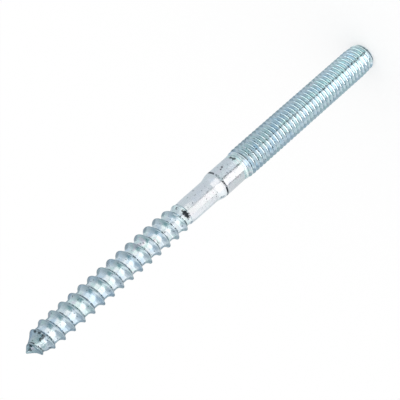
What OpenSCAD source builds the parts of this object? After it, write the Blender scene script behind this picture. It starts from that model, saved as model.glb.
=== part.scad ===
// Hanger bolt: a wood-screw thread at one end and a metric machine thread at the other,
// rolled from one piece of steel wire.
// It stands along Z on the flat face of its machine end, with the wood point at the top.
// All sizes are in millimetres, angles in degrees.

/* [Machine thread] */
// Outside diameter over the machine thread crests
machine_diameter = 7.8; // [6:0.1:10]
// Length of the threaded end, from the collar to the end face
machine_thread_length = 49.5; // [30:0.5:80]
// Length over which the thread runs out into the collar
machine_runout = 2.4; // [1:0.1:4]
// Length at the end where the crests are not yet full
lead_taper_length = 3.4; // [1:0.1:6]
// How far the crests fall, on the radius, over that length
lead_taper_drop = 0.25; // [0.1:0.05:0.5]
// Length of the chamfer at the end face
end_chamfer = 0.7; // [0.3:0.1:1.5]

/* [Plain section] */
// Diameter of the collar, the blank that the machine thread is rolled on
collar_diameter = 7; // [6:0.1:9]
// Length of the collar
collar_length = 6.2; // [2:0.1:12]
// Width of the groove left where the collar meets the flare
lip_groove_width = 0.5; // [0.2:0.1:1]
// Depth of that groove on the radius
lip_groove_depth = 0.12; // [0.05:0.01:0.3]
// Length of the flare between the shank and the collar
flare_length = 2.7; // [1:0.1:6]
// Diameter of the narrow plain shank
shank_diameter = 5.95; // [5.5:0.05:7]
// Length of the narrow plain shank
shank_length = 9.1; // [4:0.1:30]

/* [Wood thread] */
// Length from the point to the plain shank
wood_thread_length = 48.5; // [25:0.5:80]
// Outside diameter over the wood thread crests
wood_crest_diameter = 7.2; // [6.5:0.1:9]
// Core diameter at the bottom of the wood thread
wood_root_diameter = 5.3; // [4:0.1:5.8]
// Rise of the wood thread in one turn
wood_pitch = 2.97; // [2.5:0.01:4]
// Width of the flat on top of the ridge
crest_flat = 0.35; // [0.2:0.05:0.6]
// Width of the flank that faces the point
lead_flank = 1.3; // [0.6:0.05:1.5]
// Width of the steeper flank that faces the machine end
trail_flank = 0.6; // [0.4:0.05:0.8]
// Length of the bare cone at the point
point_length = 4.4; // [3:0.1:7]
// Length over which the ridge grows from the point to its full height
ridge_growth_length = 6.8; // [5:0.1:12]
// Length over which the ridge fades before the plain shank
ridge_fade_length = 4.2; // [2:0.1:9]
// Turn of the ridge's start about the axis
ridge_start_angle = 102; // [0:1:359]

/* [Hidden] */
// The bolt in every drawing
// Facets around the turned part
turned_facets = 72;
$fn = turned_facets;
// Columns of points around the wood thread, and steps up each flank
thread_sides = 28;
flank_steps = 3;
// Height of the first row of thread points above the very tip
tip_gap = 0.3;
// How far the faded ridge stays under the shank's surface where it meets the shank
ridge_bury = 0.1;

machine_r = machine_diameter/2;
collar_r = collar_diameter/2;
shank_r = shank_diameter/2;
crest_r = wood_crest_diameter/2;
root_r = wood_root_diameter/2;

// Stations along the bolt are heights from the point, which is at the bottom until the bolt is turned over.
flare_start = wood_thread_length + shank_length;
collar_start = flare_start + flare_length;
machine_start = collar_start + collar_length;
overall_length = machine_start + machine_thread_length;

// One point of the wood thread's profile: [distance along the axis, share of the ridge's height].
// Both flanks are hollow, so the root runs up into the ridge with a fillet.
function hollow(x) = pow(x, 1.5);
profile = concat(
    [for (i = [0:flank_steps]) [lead_flank*i/flank_steps, hollow(i/flank_steps)]],
    [for (i = [0:flank_steps]) [lead_flank + crest_flat + trail_flank*i/flank_steps,
                                hollow(1 - i/flank_steps)]]);
rows_per_turn = len(profile);

// Rows are counted from the point; the last one lies inside the shank in every column.
last_row = rows_per_turn*ceil((wood_thread_length + ridge_bury - tip_gap)/wood_pitch);

// Core radius and crest radius at height z above the point
function rise(z, span, power) = z >= span ? 1 : 1 - pow(1 - z/span, power);
function core_at(z) = root_r*rise(z, point_length, 1.25);
function fade_at(z) = min(1, max(0, (wood_thread_length - z)/ridge_fade_length));
function smooth(x) = x*x*(3 - 2*x);
function crest_at(z) =
    let (buried = shank_r - ridge_bury, full = crest_r*rise(z, ridge_growth_length, 2.4))
    min(full, buried + (crest_r - buried)*smooth(fade_at(z)));

// A point of the thread's skin in column j and row i; each column is one step further up the helix.
function skin(j, i) =
    let (step = profile[i % rows_per_turn],
         z = tip_gap + wood_pitch*(floor(i/rows_per_turn) + j/thread_sides) + step[0],
         r = core_at(z) + step[1]*max(0, crest_at(z) - core_at(z)),
         a = ridge_start_angle + 360*j/thread_sides)
    [r*cos(a), r*sin(a), z];

function at(j, i) = j + i*thread_sides;

// The wood thread with its point down, along Z
module wood_thread() {
    tip = thread_sides*(last_row + 1);
    cap = tip + 1;
    cap_height = tip_gap + wood_pitch*(last_row/rows_per_turn + 0.5);
    points = concat(
        [for (i = [0:last_row]) for (j = [0:thread_sides - 1]) skin(j, i)],
        [[0, 0, 0], [0, 0, cap_height]]);
    end = thread_sides - 1;
    // The skin between neighbouring columns
    skin_faces = [for (i = [0:last_row - 1]) for (j = [0:end - 1]) each [
        [at(j, i), at(j, i + 1), at(j + 1, i + 1)],
        [at(j, i), at(j + 1, i + 1), at(j + 1, i)]]];
    // The last column meets the first one a turn further up
    seam_faces = [for (i = [0:last_row - rows_per_turn - 1])
        let (k = i + rows_per_turn) each [
        [at(end, i), at(end, i + 1), at(0, k + 1)],
        [at(end, i), at(0, k + 1), at(0, k)]]];
    start_faces = [for (i = [0:rows_per_turn - 1]) [at(end, 0), at(0, i + 1), at(0, i)]];
    end_faces = [for (i = [last_row - rows_per_turn:last_row - 1])
        [at(end, i), at(end, i + 1), at(0, last_row)]];
    // The point below the first row and the hidden cap above the last one
    tip_faces = [for (j = [0:end]) [tip, at(j, 0), at((j + 1) % thread_sides, 0)]];
    cap_faces = [for (j = [0:end]) [cap, at((j + 1) % thread_sides, last_row), at(j, last_row)]];
    polyhedron(points, concat(skin_faces, seam_faces, start_faces, end_faces, tip_faces, cap_faces));
}

// Half section of the shank, flare, collar and machine end: [radius, height above the point]
flare_steps = 8;
flare_curve = [for (i = [0:flare_steps])
    [shank_r + (collar_r - shank_r)*smooth(i/flare_steps), flare_start + flare_length*i/flare_steps]];
groove_r = collar_r - lip_groove_depth;
taper_r = machine_r - lead_taper_drop;
turned_section = concat(
    [[0, wood_thread_length], [shank_r, wood_thread_length]],
    flare_curve,
    [[groove_r, collar_start + lip_groove_width/2],
     [collar_r, collar_start + lip_groove_width],
     [collar_r, machine_start],
     [machine_r, machine_start + machine_runout],
     [machine_r, overall_length - end_chamfer - lead_taper_length],
     [taper_r, overall_length - end_chamfer],
     [taper_r - end_chamfer*0.75, overall_length],
     [0, overall_length]]);

// The whole bolt, turned over to stand on its machine end
module hanger_bolt() {
    color("silver")
    translate([0, 0, overall_length])
    rotate([180, 0, 0])
    union() {
        wood_thread();
        rotate_extrude() polygon(turned_section);
    }
}

hanger_bolt();
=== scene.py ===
import math

import bmesh
import bpy
from mathutils import Matrix, Quaternion, Vector, noise


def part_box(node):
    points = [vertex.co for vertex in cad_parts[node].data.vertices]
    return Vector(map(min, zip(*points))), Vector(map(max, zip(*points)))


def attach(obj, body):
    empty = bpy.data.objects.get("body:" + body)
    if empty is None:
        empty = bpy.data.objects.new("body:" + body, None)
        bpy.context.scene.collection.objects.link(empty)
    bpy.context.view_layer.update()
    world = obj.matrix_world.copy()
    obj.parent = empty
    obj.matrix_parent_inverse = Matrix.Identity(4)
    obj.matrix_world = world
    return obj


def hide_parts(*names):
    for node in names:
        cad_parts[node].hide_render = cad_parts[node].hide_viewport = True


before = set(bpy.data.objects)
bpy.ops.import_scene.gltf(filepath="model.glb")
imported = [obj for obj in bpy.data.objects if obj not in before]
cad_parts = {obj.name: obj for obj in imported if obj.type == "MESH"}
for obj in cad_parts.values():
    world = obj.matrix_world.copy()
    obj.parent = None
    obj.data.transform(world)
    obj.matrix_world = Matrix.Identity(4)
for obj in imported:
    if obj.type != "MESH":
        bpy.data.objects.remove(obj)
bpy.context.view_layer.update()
scene = bpy.context.scene
scene.view_settings.view_transform = "Standard"

# Plain section of the wire: the narrow shank was drawn down for the wood thread, and the collar is the
# wire at its first width. The drawing die left the flare between them and a thin groove at its lip.
# Distances along the bolt are taken from the point, until the bolt is turned over to stand.
mm = 0.001
bolt_low, bolt_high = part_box("hanger_bolt")
bolt_length = bolt_high.z - bolt_low.z
sides = 72
wood_length = 48.5*mm
shank_r = 2.975*mm
shank_start = wood_length + 0.45*mm
flare_start = wood_length + 9.1*mm
flare_length = 2.7*mm
flare_steps = 12
collar_start = flare_start + flare_length
collar_r = 3.5*mm
lip_width = 0.5*mm
lip_depth = 0.2*mm
machine_start = collar_start + 6.2*mm
collar_end = machine_start - 0.3*mm
# The thread dies left the shank's start a little thinner: depth and distance from its start, in millimetres
shank_hollow = [(0.24, 0), (0.1, 0.12), (0.085, 0.4), (0.03, 1.3), (0, 2.4), (0, 2.9)]


def ease(x):
    x = min(1, max(0, x))
    return x*x*(3 - 2*x)


outline = [(shank_r - depth*mm, shank_start + along*mm) for depth, along in shank_hollow]
outline += [(shank_r + (collar_r - shank_r)*ease(i/flare_steps), flare_start + flare_length*i/flare_steps)
            for i in range(flare_steps + 1)]
outline += [(collar_r - lip_depth, collar_start + lip_width*share) for share in (0.35, 0.55)]
# A second ring beside each end of the collar keeps its shading even.
outline += [(collar_r, along) for along in (collar_start + lip_width, collar_start + lip_width + 0.25*mm,
                                            collar_end - 0.3*mm, collar_end)]
plain = bmesh.new()
line = [plain.verts.new((r, 0, s)) for r, s in outline]
edges = [plain.edges.new(pair) for pair in zip(line, line[1:])]
bmesh.ops.spin(plain, geom=line + edges, cent=(0, 0, 0), axis=(0, 0, 1), angle=math.tau, steps=sides,
               use_merge=True)

# Wood thread: a coarse ridge rolled into the drawn wire, with hollow flanks and a rounded crest. It grows
# out of the gimlet point and fades where the rolling dies left the shank.
wood_pitch = 2.97*mm
wood_root = 2.65*mm
wood_crest = 3.6*mm
wood_end = wood_length + 0.35*mm
lead_flank = 1.22*mm
lead_hollow = 2
trail_flank = 0.6*mm
trail_hollow = 1.5
flank_steps = 6
crest_flat = 0.3*mm
crest_round = 0.06
crest_taper = 0.15*mm
tip_cut = 0.01*mm
point_length = 4.4*mm
point_radius = 0.45*mm
point_blunt = 0.15*mm
point_curve = 1.25
growth_length = 6.8*mm
growth_curve = 2.4
fade_end = wood_length + 0.2*mm
fade_length = 5.7*mm
fade_rise = 0.1*mm
fade_curve = 0.3
# The first turn stands proud where the dies pinched the wire off.
spur_place = 2.4*mm
spur_reach = 0.7*mm
spur_rise = 0.32*mm
# The rolling left the ridge slightly uneven.
uneven = 0.05*mm
uneven_size = 1.6*mm
# A crest that the photograph shows: its distance from the point, on the side half a turn from +X
seen_crest = 5.43*mm


def sweep(profile, pitch, start, end, phase):
    """Winds a one-pitch profile of (radius, distance) round the axis and trims both ends square."""
    wound = bmesh.new()
    line = [wound.verts.new((r, 0, start - pitch + d)) for r, d in profile]
    edges = [wound.edges.new(pair) for pair in zip(line, line[1:])]
    bmesh.ops.rotate(wound, cent=(0, 0, 0), matrix=Matrix.Rotation(phase, 3, "Z"), verts=line)
    bmesh.ops.spin(wound, geom=line + edges, cent=(0, 0, 0), axis=(0, 0, 1), dvec=(0, 0, pitch/sides),
                   angle=math.tau, steps=sides, use_merge=False)
    first_turn = wound.verts[:] + wound.edges[:] + wound.faces[:]
    for i in range(1, math.ceil((end - start)/pitch) + 2):
        copied = bmesh.ops.duplicate(wound, geom=first_turn)["geom"]
        bmesh.ops.translate(wound, vec=(0, 0, pitch*i),
                            verts=[v for v in copied if isinstance(v, bmesh.types.BMVert)])
    bmesh.ops.remove_doubles(wound, verts=wound.verts, dist=0.002*mm)
    for station, outward in ((start, -1), (end, 1)):
        bmesh.ops.bisect_plane(wound, geom=wound.verts[:] + wound.edges[:] + wound.faces[:], dist=0.0001*mm,
                               plane_co=(0, 0, station), plane_no=(0, 0, outward), clear_outer=True)
    return wound


def reshape(wound, root, crest, root_at, crest_at):
    """Moves each point of a swept thread in or out, to the root and crest radii at its own distance."""
    for v in wound.verts:
        r = math.hypot(v.co.x, v.co.y)
        share = (r - root)/(crest - root)
        new = root_at(v.co.z) + share*(crest_at(v.co.z) - root_at(v.co.z))
        v.co.x *= new/r
        v.co.y *= new/r


def wood_height(d):
    """Share of the ridge's height at a distance from the middle of its crest."""
    flank, hollow = (lead_flank, lead_hollow) if d < 0 else (trail_flank, trail_hollow)
    beside = abs(d) - crest_flat/2
    if beside <= 0:
        return 1 - crest_round*(d/(crest_flat/2))**2
    return (1 - crest_round)*max(0, 1 - beside/flank)**hollow


def wood_root_at(s):
    cone = point_blunt + wood_root*(1 - max(0, 1 - s/point_length)**point_curve)
    ball = math.sqrt(max(0, s*(2*point_radius - s))) if s < point_radius else cone
    return min(wood_root, cone, ball)


def wood_crest_at(s):
    full = wood_crest - crest_taper*max(0, 1 - s/wood_length)
    grown = full*(1 - max(0, 1 - s/growth_length)**growth_curve)
    left = min(1, max(0, (fade_end - s)/fade_length))
    faded = wood_root + fade_rise + (wood_crest - wood_root - fade_rise)*left**fade_curve
    proud = spur_rise*math.exp(-((s - spur_place)/spur_reach)**2)
    return max(wood_root_at(s), min(grown + proud, faded))


root_flat = wood_pitch - lead_flank - crest_flat - trail_flank
crest_middle = root_flat/2 + lead_flank + crest_flat/2
stops = [0, root_flat/4, root_flat/2]
stops += [root_flat/2 + lead_flank*i/flank_steps for i in range(1, flank_steps + 1)]
stops += [crest_middle + crest_flat*i/4 for i in (-1, 0, 1)]
stops += [wood_pitch - root_flat/2 - trail_flank*(1 - i/flank_steps) for i in range(flank_steps + 1)]
stops += [wood_pitch - root_flat/4, wood_pitch]
wood_profile = [(wood_root + (wood_crest - wood_root)*wood_height(d - crest_middle), d) for d in stops]
phase = math.pi + math.tau*(tip_cut - wood_pitch + crest_middle - seen_crest)/wood_pitch
wood = sweep(wood_profile, wood_pitch, tip_cut, wood_end, phase)
reshape(wood, wood_root, wood_crest, wood_root_at, wood_crest_at)
for v in wood.verts:
    push = 1 + uneven*noise.noise(v.co/uneven_size)/wood_crest*min(1, v.co.z/growth_length)
    v.co.x *= push
    v.co.y *= push

# Machine thread: metric M8 with a pitch of 1.25 mm, rolled on the wire. It runs out into the collar, and
# its last turns are lower behind the chamfer that starts a nut.
machine_pitch = 1.25*mm
machine_crest = bolt_high.x
thread_depth = 0.76*mm
machine_root = machine_crest - thread_depth
runout = 3.2*mm
chamfer = 0.7*mm
chamfer_slope = 0.75
lead_length = 3.4*mm
lead_drop = 0.25*mm
# Half of one turn, from the middle of the root to the middle of the crest: distance and share of the height
half_turn = [(0, 0), (0.08, 0.02), (0.16, 0.13), (0.49, 0.93), (0.525, 0.985), (0.625, 1)]
half_turn = [(d*mm, share) for d, share in half_turn]
turn = half_turn + [(machine_pitch - d, share) for d, share in half_turn[-2::-1]]
machine_profile = [(machine_root + thread_depth*share, d) for d, share in turn]


def end_limit(s):
    """Radius that the lead taper and the chamfer leave."""
    behind = bolt_length - s
    if behind < chamfer:
        return machine_crest - lead_drop - chamfer_slope*(chamfer - behind)
    return machine_crest - lead_drop*max(0, 1 - (behind - chamfer)/lead_length)


def rolled(radius):
    """A radius of the thread as it changes along the run-out, from the collar's."""
    return lambda s: collar_r + (radius - collar_r)*ease((s - machine_start)/runout)


machine = sweep(machine_profile, machine_pitch, machine_start, bolt_length, 0)
reshape(machine, machine_root, machine_crest, rolled(machine_root), rolled(machine_crest))
for v in machine.verts:
    trim = min(1, end_limit(v.co.z)/math.hypot(v.co.x, v.co.y))
    v.co.x *= trim
    v.co.y *= trim

# One piece of steel: the three stretches are joined ring to ring, the point and the end are closed, and the
# bolt is turned over to stand on its machine end.
steel = bmesh.new()
for section in (wood, plain, machine):
    part = bpy.data.meshes.new("section")
    section.to_mesh(part)
    section.free()
    steel.from_mesh(part)
    bpy.data.meshes.remove(part)


def ring(station):
    """The open edge at a distance from the point."""
    return [e for e in steel.edges
            if e.is_boundary and all(abs(v.co.z - station) < 0.001*mm for v in e.verts)]


for one, other in ((wood_end, shank_start), (collar_end, machine_start)):
    bmesh.ops.bridge_loops(steel, edges=ring(one) + ring(other))
for station in (tip_cut, bolt_length):
    bmesh.ops.edgeloop_fill(steel, edges=ring(station))
bmesh.ops.rotate(steel, cent=(0, 0, 0), matrix=Matrix.Rotation(math.pi, 3, "X"), verts=steel.verts)
bmesh.ops.translate(steel, vec=(0, 0, bolt_length), verts=steel.verts)
bmesh.ops.remove_doubles(steel, verts=steel.verts, dist=0.0005*mm)
bmesh.ops.recalc_face_normals(steel, faces=steel.faces)
mesh = bpy.data.meshes.new("hanger_bolt")
steel.to_mesh(mesh)
steel.free()
mesh.shade_smooth()
mesh.set_sharp_from_angle(angle=math.radians(40))
bolt = bpy.data.objects.new("bolt", mesh)
scene.collection.objects.link(bolt)


# Zinc plating: a thin bright metal skin over the rolled steel, passivated to a faint blue with green and
# rosy patches. It is grainy where the steel was rough, streaked where the dies rolled the threads, and dark
# at the point and in the machine thread's roots, where soot of the hardening stayed under it. Painted shade
# darkens the wood ridge's crest and the corner behind it, the machine thread's flanks and roots, the hollow
# behind the ridge's end, the lip groove and the cut end.
def linear(hex_colour):
    """Linear RGBA of an sRGB hex colour."""
    parts = [int(hex_colour[i:i + 2], 16)/255 for i in (1, 3, 5)]
    return [c/12.92 if c <= 0.04045 else ((c + 0.055)/1.055)**2.4 for c in parts] + [1]


def add(kind, *sources, tree=None, **settings):
    """Adds a node, sets its properties and named sockets, feeds its inputs in turn and returns its output."""
    node = (tree or zinc.node_tree).nodes.new(kind)
    sockets = {name: value for name, value in settings.items() if not hasattr(node, name)}
    for name, value in settings.items():
        if name not in sockets:
            setattr(node, name, value)
    fed = list(zip((i for i in node.inputs if i.enabled), sources))
    fed += [(node.inputs[name], value) for name, value in sockets.items()]
    for socket, source in fed:
        if isinstance(source, bpy.types.NodeSocket):
            node.id_data.links.new(source, socket)
        else:
            socket.default_value = source
    return next(o for o in node.outputs if o.enabled)


zinc = bpy.data.materials.new("zinc_plated_steel")
zinc.use_nodes = True
place = add("ShaderNodeTexCoord").node.outputs["Object"]
x, y, z = add("ShaderNodeSeparateXYZ", place).node.outputs
bearing = add("ShaderNodeMath", y, x, operation="ARCTAN2")
from_point = add("ShaderNodeMath", bolt_length, z, operation="SUBTRACT")


def thread_turn(pitch, height):
    """Angle within the turn of a right-hand thread, which is 0 on the thread line through a height at +X."""
    climb = add("ShaderNodeMath", z, -math.tau/pitch, math.tau*height/pitch, operation="MULTIPLY_ADD")
    return add("ShaderNodeMath", climb, bearing, operation="ADD")


def stripe(turn, middle, edge, full):
    """A soft stripe along a thread about an angle of its turn. Its limits are cosines of the angle off it."""
    off = add("ShaderNodeMath", turn, middle, operation="SUBTRACT")
    nearness = add("ShaderNodeMath", off, operation="COSINE")
    return add("ShaderNodeMapRange", nearness, edge, full, interpolation_type="SMOOTHSTEP")


def stretch(start, full_start, full_end, end):
    """A stretch of the bolt with soft ends, between distances from the point."""
    begun = add("ShaderNodeMapRange", from_point, start, full_start, interpolation_type="SMOOTHSTEP")
    return add("ShaderNodeMapRange", from_point, end, full_end, 0.0, begun, interpolation_type="SMOOTHSTEP")


def patchy(size, least, most, detail=2.0, roughness=0.5):
    """Soft patches of about a given size, where cloudy noise passes two levels."""
    cloud = add("ShaderNodeTexNoise", place, Scale=1/size, Detail=detail, Roughness=roughness)
    return add("ShaderNodeMapRange", cloud, least, most, interpolation_type="SMOOTHSTEP")


def stain(colour, tint, strength, *masks):
    """Lays a tint over a colour where all the masks are set."""
    for mask in masks:
        strength = add("ShaderNodeMath", mask, strength, operation="MULTIPLY")
    return add("ShaderNodeMix", strength, colour, linear(tint), data_type="RGBA")


# Stretches that run to the point or the end start ahead of the bolt or stop behind it.
ahead = -bolt_length
behind = 2*bolt_length
on_wood = stretch(ahead, 0, wood_length - 0.4*mm, wood_length + 0.2*mm)
on_plain = stretch(wood_length - 0.2*mm, wood_length + 0.8*mm, machine_start - 0.4*mm, machine_start + 0.4*mm)
on_collar = stretch(collar_start, collar_start + 1*mm, machine_start, machine_start + 1*mm)
on_machine = stretch(machine_start + 0.4*mm, machine_start + 3.4*mm, bolt_length, behind)
wood_turn = thread_turn(wood_pitch, bolt_length - seen_crest + wood_pitch/2)
machine_turn = thread_turn(machine_pitch, bolt_length - machine_start)

clouds = add("ShaderNodeTexNoise", place, Scale=1/(3.2*mm), Detail=3.0)
colour = add("ShaderNodeValToRGB", clouds)
tints = colour.node.color_ramp.elements
blue, pale, green, rosy = "#cbdeee", "#e2e7ec", "#d6ebe8", "#efe5ed"
for stop, tint in ((0.34, blue), (0.48, pale), (0.6, green), (0.7, rosy)):
    tints.new(stop).color = linear(tint)
for end in (0, -1):
    tints.remove(tints[end])
# The tints are faint on the plain section, and the blue of the passivation gathers in the threads.
colour = stain(colour, "#e3e5ea", 0.7, on_plain)
colour = stain(colour, "#c4dfe6", 0.35, on_machine)
colour = stain(colour, "#c4dfe6", 0.2, on_wood)
# Grain of the plating, drawn coarser than it is so that it shows
fine = add("ShaderNodeTexNoise", place, Scale=1/(0.32*mm), Detail=4.0, Roughness=0.65)
grainy = add("ShaderNodeMapRange", fine, 0.5, 0.75, interpolation_type="SMOOTHSTEP")
colour = stain(colour, "#9fb2bd", 0.28, grainy)
# Streaks that the dies drew along the wood thread: noise on its turn, drawn as a ring, and stretched along it
ring_r = wood_pitch/math.tau
streak_width = 0.104*mm
streak_length = 5.5*mm
turn_x = add("ShaderNodeMath", wood_turn, operation="COSINE")
turn_y = add("ShaderNodeMath", wood_turn, operation="SINE")
unwound = add("ShaderNodeVectorMath", add("ShaderNodeCombineXYZ", turn_x, turn_y, z),
              (ring_r, ring_r, streak_width/streak_length), operation="MULTIPLY")
streaks = add("ShaderNodeTexNoise", unwound, Scale=1/streak_width, Detail=3.0)
streaky = add("ShaderNodeMapRange", streaks, 0.48, 0.66, interpolation_type="SMOOTHSTEP")
colour = stain(colour, "#8fa3b2", 0.2, on_wood, streaky)
colour = stain(colour, "#97a8b1", 0.12, on_wood, patchy(0.6*mm, 0.5, 0.7, detail=3.0))
# Pits and specks of soot, closer together on parts of the collar
colour = stain(colour, "#4c545b", 0.75, patchy(0.55*mm, 0.68, 0.74, detail=1.0))
pits = patchy(0.4*mm, 0.6, 0.7, roughness=0.6)
colour = stain(colour, "#59636b", 0.6, pits, on_collar, patchy(1.8*mm, 0.45, 0.6, detail=1.0))
# Painted shade along the crest of the wood ridge, and darker painted shade in the corner behind it, broken
# like a dotted line
dots = patchy(0.45*mm, 0.38, 0.55, detail=1.0)
crest_shade_turn = math.tau*(crest_flat/2 + trail_flank*0.05)/wood_pitch
corner_shade_turn = math.tau*(crest_flat/2 + trail_flank*0.75)/wood_pitch
colour = stain(colour, "#8a9ea8", 0.65, stripe(wood_turn, crest_shade_turn, 0.6, 0.9), on_wood)
colour = stain(colour, "#2c353c", 0.95, stripe(wood_turn, corner_shade_turn, 0.91, 0.985), on_wood, dots)
# Painted shade on the flanks of the machine thread, stronger towards its end, and in its roots, where it is
# mixed with soot and broken like a dotted line
flank_shade = add("ShaderNodeMapRange", z, 16*mm, 36*mm, 0.3, 0.1, interpolation_type="SMOOTHSTEP")
root_soot_and_shade = add("ShaderNodeMath", dots, 0.6, 0.3, operation="MULTIPLY_ADD")
colour = stain(colour, "#7f9fad", flank_shade, stripe(machine_turn, 0, -0.5, 0.4), on_machine)
colour = stain(colour, "#2c3e47", root_soot_and_shade, stripe(machine_turn, 0, 0.62, 0.9), on_machine)
# Painted shade in the groove at the lip of the flare
lip_groove_shade = stretch(collar_start - 0.14*mm, collar_start + 0.08*mm,
                   collar_start + 0.36*mm, collar_start + 0.62*mm)
colour = stain(colour, "#252a30", 1.0, lip_groove_shade, patchy(1.3*mm, 0.34, 0.48))
# Ragged edge of the soot spots and of the painted shade spots
ragged_cloud = add("ShaderNodeTexNoise", place, Scale=1/(0.5*mm), Detail=3.0)
ragged = add("ShaderNodeMath", ragged_cloud, 1.2*mm, -0.6*mm, operation="MULTIPLY_ADD")


def skin_r(station):
    """Outer radius of the bolt, as far as the first turns of the machine thread."""
    if station < wood_length - 1*mm:
        return wood_crest_at(station)
    return shank_r if station < flare_start else collar_r


def spot(station, degrees, size):
    """A ragged spot on the skin at a distance from the point and a bearing from +X."""
    facing = Matrix.Rotation(math.radians(degrees), 3, "Z")
    centre = facing @ Vector((skin_r(station), 0, bolt_length - station))
    distance = add("ShaderNodeVectorMath", place, centre, operation="DISTANCE")
    off = add("ShaderNodeMath", distance, ragged, operation="ADD")
    return add("ShaderNodeMapRange", off, size, 0.55*size, interpolation_type="SMOOTHSTEP")


# Soot at the point, at the ridge's end and on the plain section, and painted shade in the hollow behind the
# ridge's end.
# A spot has its distance from the point in millimetres, its bearing in degrees and its size in millimetres.
soot_spots = [(0.9, -92, 0.5), (1.4, -70, 0.4), (2.2, -84, 0.6), (2.9, -90, 0.65), (3.6, -87, 0.7),
              (4.3, -84, 0.5), (4.3, -62, 0.5), (4.0, -42, 0.5), (2.1, -48, 0.45), (2.2, 20, 0.8),
              (3.4, 120, 1.0), (4.2, -160, 0.7), (47.8, -44, 0.5), (47.1, -52, 0.45), (62.5, -54, 0.34),
              (63.3, -50, 0.34), (66.8, -42, 0.5), (67.0, -56, 0.5), (64.6, 70, 0.5), (51.0, 130, 0.4)]
painted_hollow_shade_spots = [(48.2, -76, 0.6), (48.35, -85, 0.75), (48.4, -95, 0.8), (48.4, -106, 0.78),
                (48.35, -117, 0.7), (48.3, -125, 0.5)]
for station, degrees, size in soot_spots:
    colour = stain(colour, "#2a3036", 0.8, spot(station*mm, degrees, size*mm))
sooty = add("ShaderNodeMapRange", fine, 0.35, 0.7, interpolation_type="SMOOTHSTEP")
colour = stain(colour, "#6a757d", 0.2, stretch(ahead, 0, 3.5*mm, 6.5*mm), sooty)
# Painted shade in the hollow behind the ridge's end, in ragged spots
for station, degrees, size in painted_hollow_shade_spots:
    colour = stain(colour, "#252b30", 0.9, spot(station*mm, degrees, size*mm))
# Painted shade on the chamfer at the cut end, in patches
painted_end_shade = stretch(bolt_length - 1.1*mm, bolt_length - 0.3*mm, bolt_length, behind)
colour = stain(colour, "#5c6a74", 0.6, painted_end_shade, patchy(0.8*mm, 0.4, 0.6))

# Gloss and relief: the grain dulls and roughens the skin, which is wavy all over, dented at the point and
# lined along the wood thread.
gloss = add("ShaderNodeMapRange", fine, 0.3, 0.8, 0.14, 0.32, interpolation_type="SMOOTHSTEP")
waves = add("ShaderNodeTexNoise", place, Scale=1/(1.2*mm))
dents = add("ShaderNodeMath", stretch(ahead, 0, 4.5*mm, 6.5*mm),
            add("ShaderNodeTexNoise", place, Scale=1/(0.8*mm)), operation="MULTIPLY")
lines = add("ShaderNodeMath", on_wood, streaks, operation="MULTIPLY")
relief = add("ShaderNodeBump", Distance=0.05*mm, Height=waves)
for height, depth in ((dents, 0.14*mm), (lines, 0.02*mm), (fine, 0.012*mm)):
    relief = add("ShaderNodeBump", Distance=depth, Height=height, Normal=relief)
shader = zinc.node_tree.nodes["Principled BSDF"]
shader.inputs["Metallic"].default_value = 1
for name, source in (("Base Color", colour), ("Roughness", gloss), ("Normal", relief)):
    zinc.node_tree.links.new(source, shader.inputs[name])
mesh.materials.append(zinc)
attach(bolt, "root")
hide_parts("hanger_bolt")

# Studio: a white floor without a seam that keeps the bolt's shadow, white light all round, and a light tent
# of plain cards that only the bolt's shine shows. Its softbox on the left lays the long white band along
# the bolt, and the other cards were matched to the bands beside it.
floor_mesh = bpy.data.meshes.new("floor")
sheet = bmesh.new()
bmesh.ops.create_grid(sheet, x_segments=1, y_segments=1, size=6)
sheet.to_mesh(floor_mesh)
sheet.free()
floor = bpy.data.objects.new("floor", floor_mesh)
scene.collection.objects.link(floor)
paper = bpy.data.materials.new("white_paper")
paper.use_nodes = True
tree = paper.node_tree
tree.nodes.remove(tree.nodes["Principled BSDF"])
rays = add("ShaderNodeLightPath", tree=tree).node.outputs
seen = add("ShaderNodeMath", rays["Is Camera Ray"], rays["Is Glossy Ray"], tree=tree, operation="ADD")
seen = add("ShaderNodeMath", seen, rays["Is Transmission Ray"], tree=tree, operation="ADD")
# Part of the paper's white is its own glow, and the rest is light that it scatters, which keeps the shadow.
paper_glow = 0.5
glow = add("ShaderNodeMath", seen, paper_glow, tree=tree, operation="MULTIPLY")
emission = add("ShaderNodeEmission", linear("#ffffff"), glow, tree=tree)
diffuse = add("ShaderNodeBsdfDiffuse", [1 - paper_glow]*3 + [1], tree=tree)
both = add("ShaderNodeAddShader", emission, diffuse, tree=tree)
tree.links.new(both, tree.nodes["Material Output"].inputs["Surface"])
floor_mesh.materials.append(paper)

world = bpy.data.worlds.new("studio")
scene.world = world
world.use_nodes = True
sky = world.node_tree.nodes["Background"]
sky.inputs["Color"].default_value = linear("#ffffff")
sky.inputs["Strength"].default_value = 1.0

# Section of the tent, in millimetres from the bolt and above the floor: a sloping skirt, a wall and a roof
tent_section = {"floor": (6, 0), "near": (32, 11.9), "middle": (52, 21.1), "bend": (62, 25.7),
                "far": (68, 28.4), "outer": (84, 35.8), "edge": (115, 50), "low": (115, 90),
                "waist": (115, 130), "shoulder": (115, 160), "high": (115, 220), "top": (115, 350),
                "crown": (4, 360)}
corners = list(tent_section)


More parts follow.
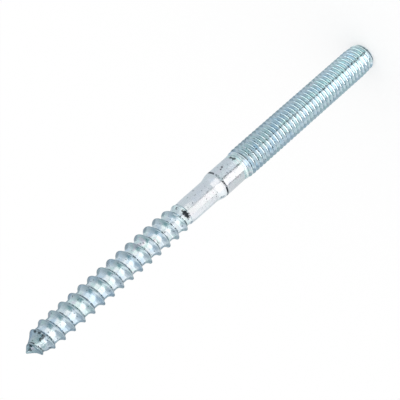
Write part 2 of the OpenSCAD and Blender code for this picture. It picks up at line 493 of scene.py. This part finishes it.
def tent_card(name, start, end, lower, upper, tint, radiance):
    """A tent card between two bearings, in degrees left of the front, and two corners of the section."""
    card = bmesh.new()
    outline = [tent_section[c] for c in corners[corners.index(lower):corners.index(upper) + 1]]
    line = [card.verts.new((0, -distance*mm, height*mm)) for distance, height in outline]
    edges = [card.edges.new(pair) for pair in zip(line, line[1:])]
    bmesh.ops.rotate(card, cent=(0, 0, 0), matrix=Matrix.Rotation(-math.radians(start), 3, "Z"), verts=line)
    bmesh.ops.spin(card, geom=line + edges, cent=(0, 0, 0), axis=(0, 0, 1), angle=math.radians(start - end),
                   steps=max(2, round(abs(end - start)/5)), use_merge=False)
    card_mesh = bpy.data.meshes.new(name)
    card.to_mesh(card_mesh)
    card.free()
    glow = bpy.data.materials.new(name)
    glow.use_nodes = True
    glow.node_tree.nodes.remove(glow.node_tree.nodes["Principled BSDF"])
    shine = add("ShaderNodeEmission", linear(tint), radiance, tree=glow.node_tree)
    glow.node_tree.links.new(shine, glow.node_tree.nodes["Material Output"].inputs["Surface"])
    card_mesh.materials.append(glow)
    card = bpy.data.objects.new(name, card_mesh)
    scene.collection.objects.link(card)
    card.visible_camera = card.visible_diffuse = card.visible_shadow = False


tent_card("left_softbox_low_near", 0, 58, "floor", "near", "#fffaf8", 2.9)
tent_card("left_softbox_low_far", 0, 58, "near", "middle", "#fffaf8", 2.4)
tent_card("left_softbox_near_middle", 0, 58, "middle", "bend", "#fffaf8", 1.25)
tent_card("left_softbox_far_middle", 0, 58, "bend", "far", "#fffaf8", 1.5)
tent_card("left_softbox_far", 0, 58, "far", "outer", "#fffaf8", 1.18)
tent_card("left_softbox_outer", 0, 58, "outer", "edge", "#fffaf8", 1.15)
tent_card("left_softbox_wall", 0, 58, "edge", "high", "#fffdfb", 1.6)
tent_card("left_softbox_high", 0, 58, "high", "crown", "#e6ecf0", 1.25)
tent_card("left_roof", 58, 128, "top", "crown", "#c4ced6", 1)
tent_card("left_frame", 58, 63, "floor", "far", "#404448", 1)
tent_card("left_low_card", 63, 100, "floor", "middle", "#e0ecf4", 1)
tent_card("back_left_low_card", 100, 180, "floor", "middle", "#b0c2cb", 1)
tent_card("left_middle_card", 63, 180, "middle", "far", "#e2e4e4", 1)
tent_card("left_far_card", 58, 118, "far", "edge", "#ffffff", 1.1)
tent_card("left_rim", 58, 118, "edge", "low", "#ffffff", 1.3)
tent_card("back_left_far_card", 118, 178, "far", "outer", "#e8eef0", 1)
tent_card("back_left_outer_card", 118, 178, "outer", "edge", "#9cacb6", 1)
tent_card("back_left_rim", 118, 178, "edge", "low", "#b2c0c6", 1)
tent_card("left_wall_low", 58, 128, "low", "shoulder", "#e4eaee", 1)
tent_card("left_wall", 58, 128, "shoulder", "top", "#bcc8d0", 1)
tent_card("back_left_wall", 128, 180, "low", "crown", "#a4b2bc", 1)
tent_card("front_gap_low", -13, 0, "floor", "middle", "#3a4246", 1)
tent_card("front_gap_middle", -10, 0, "middle", "far", "#5c666a", 1)
tent_card("front_gap", -4, 0, "far", "low", "#a0a8ac", 1)
tent_card("front_gap_roof", -4, 0, "low", "crown", "#687278", 1)
tent_card("right_low_front_near_card", -46, -13, "floor", "near", "#f0f8f5", 1.6)
tent_card("right_low_front_far_card", -46, -13, "near", "middle", "#f0f8f5", 1.9)
tent_card("right_low_near_card", -84, -46, "floor", "near", "#e4f2f6", 1.8)
tent_card("right_low_side_card", -130, -84, "floor", "middle", "#ccdce4", 0.8)
tent_card("right_low_far_card", -84, -46, "near", "middle", "#dcecf2", 1.2)
tent_card("back_right_low_card", -180, -130, "floor", "middle", "#94a6b0", 1)
tent_card("right_middle_card", -180, -10, "middle", "far", "#d8dfe4", 1)
tent_card("right_far_card", -180, -4, "far", "outer", "#dce2e6", 1)
tent_card("right_front_outer_card", -45, -4, "outer", "shoulder", "#fffdfb", 1.2)
tent_card("right_front_wall", -45, -4, "shoulder", "high", "#ccdadc", 1)
tent_card("right_front_high_wall", -45, -4, "high", "crown", "#86a8ae", 1)
tent_card("right_outer_card", -180, -45, "outer", "edge", "#dce2e6", 1)
tent_card("right_rim", -128, -45, "edge", "low", "#eaf0f4", 1)
tent_card("right_wall_low", -128, -45, "low", "shoulder", "#ccd6dc", 1)
tent_card("right_wall", -128, -45, "shoulder", "high", "#bec8cc", 1)
tent_card("right_high_wall", -128, -45, "high", "top", "#acbcc2", 1)
tent_card("right_roof", -180, -45, "top", "crown", "#708692", 1)
tent_card("back_right_foot", -180, -128, "edge", "waist", "#a0acb4", 1)
tent_card("back_right_wall", -180, -128, "waist", "top", "#acb8c4", 1)

# Camera: it looks down at the bolt's front as the photograph does, and is turned so that the point is at
# the lower left.
camera_place = Vector((-0.06, -249.5, 177.73))*mm
camera_aim = Vector((-0.06, 0, 61.39))*mm
camera_roll = math.radians(-131.45)
lens = bpy.data.cameras.new("camera")
lens.sensor_width = 36
lens.lens = 106.28
lens.clip_start = 0.01
camera = bpy.data.objects.new("camera", lens)
camera.rotation_mode = "QUATERNION"
camera.location = camera_place
look = (camera_aim - camera_place).to_track_quat("-Z", "Y")
camera.rotation_quaternion = look @ Quaternion((0, 0, 1), camera_roll)
scene.collection.objects.link(camera)
scene.camera = camera
